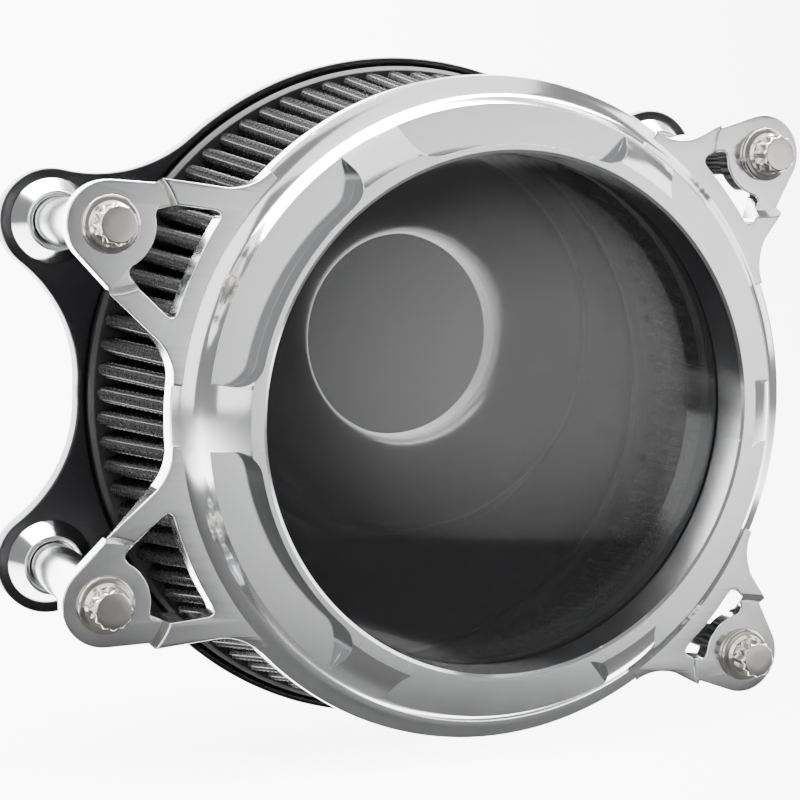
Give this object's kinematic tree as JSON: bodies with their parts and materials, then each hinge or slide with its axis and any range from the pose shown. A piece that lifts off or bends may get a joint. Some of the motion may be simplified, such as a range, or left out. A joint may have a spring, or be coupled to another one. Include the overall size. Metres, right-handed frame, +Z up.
{
  "type": "air filter",
  "caption": "Round motorcycle air filter with a bright four-eared cover ring, smoked window, tapered pleated element, velocity stack and black back plate.",
  "frame": {"origin": "centre of the throttle bore at the rear face of the back plate", "axes": "+Z up, front of the filter faces -Y, +Y points into the throttle body, +X to the right seen from the front"},
  "size_m": [0.2091, 0.098, 0.188],
  "materials": {
    "black_anodised": "satin black anodised",
    "gloss_black": "gloss black moulding",
    "chrome": "polished chrome plate",
    "polished_steel": "polished stainless steel",
    "smoked_lens": "smoked clear polycarbonate",
    "urethane": "matt black urethane",
    "seal_rubber": "matt black rubber",
    "pleat_cloth": "black filter cloth",
    "wire_mesh": "black coated wire mesh",
    "zinc_screw": "bright zinc"
  },
  "bodies": {
    "base": {"back_plate": "black_anodised", "velocity_stack": "gloss_black", "stack_seal": "seal_rubber", "throttle_seal": "seal_rubber", "throttle_screws": "zinc_screw", "post_screws": "zinc_screw", "post_upper_left": "chrome", "post_lower_left": "chrome", "post_upper_right": "chrome", "post_lower_right": "chrome", "post_seat_upper_left": "chrome", "post_seat_lower_left": "chrome", "post_seat_upper_right": "chrome", "post_seat_lower_right": "chrome"},
    "element": {"rear_end_cap": "urethane", "front_end_cap": "urethane", "pleated_media": "pleat_cloth", "outer_wire_mesh": "wire_mesh", "inner_wire_mesh": "wire_mesh"},
    "cover": {"cover_ring": "chrome", "lens": "smoked_lens", "lens_gasket": "seal_rubber", "lens_retainer": "black_anodised", "retainer_screws": "zinc_screw"},
    "bolt_upper_left": {"cover_bolt_upper_left": "polished_steel"},
    "bolt_lower_left": {"cover_bolt_lower_left": "polished_steel"},
    "bolt_upper_right": {"cover_bolt_upper_right": "polished_steel"},
    "bolt_lower_right": {"cover_bolt_lower_right": "polished_steel"}
  },
  "joints": [
    {"name": "cover_off", "type": "slide", "parent": "base", "child": "cover", "axis": [0, -1, 0], "range_m": [0, 0.16]},
    {"name": "element_out", "type": "slide", "parent": "base", "child": "element", "axis": [0, -1, 0], "range_m": [0, 0.08]},
    {"name": "bolt_out_upper_left", "type": "slide", "parent": "cover", "child": "bolt_upper_left", "axis": [0, -1, 0], "range_m": [0, 0.03]},
    {"name": "bolt_out_lower_left", "type": "slide", "parent": "cover", "child": "bolt_lower_left", "axis": [0, -1, 0], "range_m": [0, 0.03]},
    {"name": "bolt_out_upper_right", "type": "slide", "parent": "cover", "child": "bolt_upper_right", "axis": [0, -1, 0], "range_m": [0, 0.03]},
    {"name": "bolt_out_lower_right", "type": "slide", "parent": "cover", "child": "bolt_lower_right", "axis": [0, -1, 0], "range_m": [0, 0.03]}
  ],
  "couplings": [
    {"joint": "element_out", "follows": "cover_off", "ratio": 0.5}
  ]
}
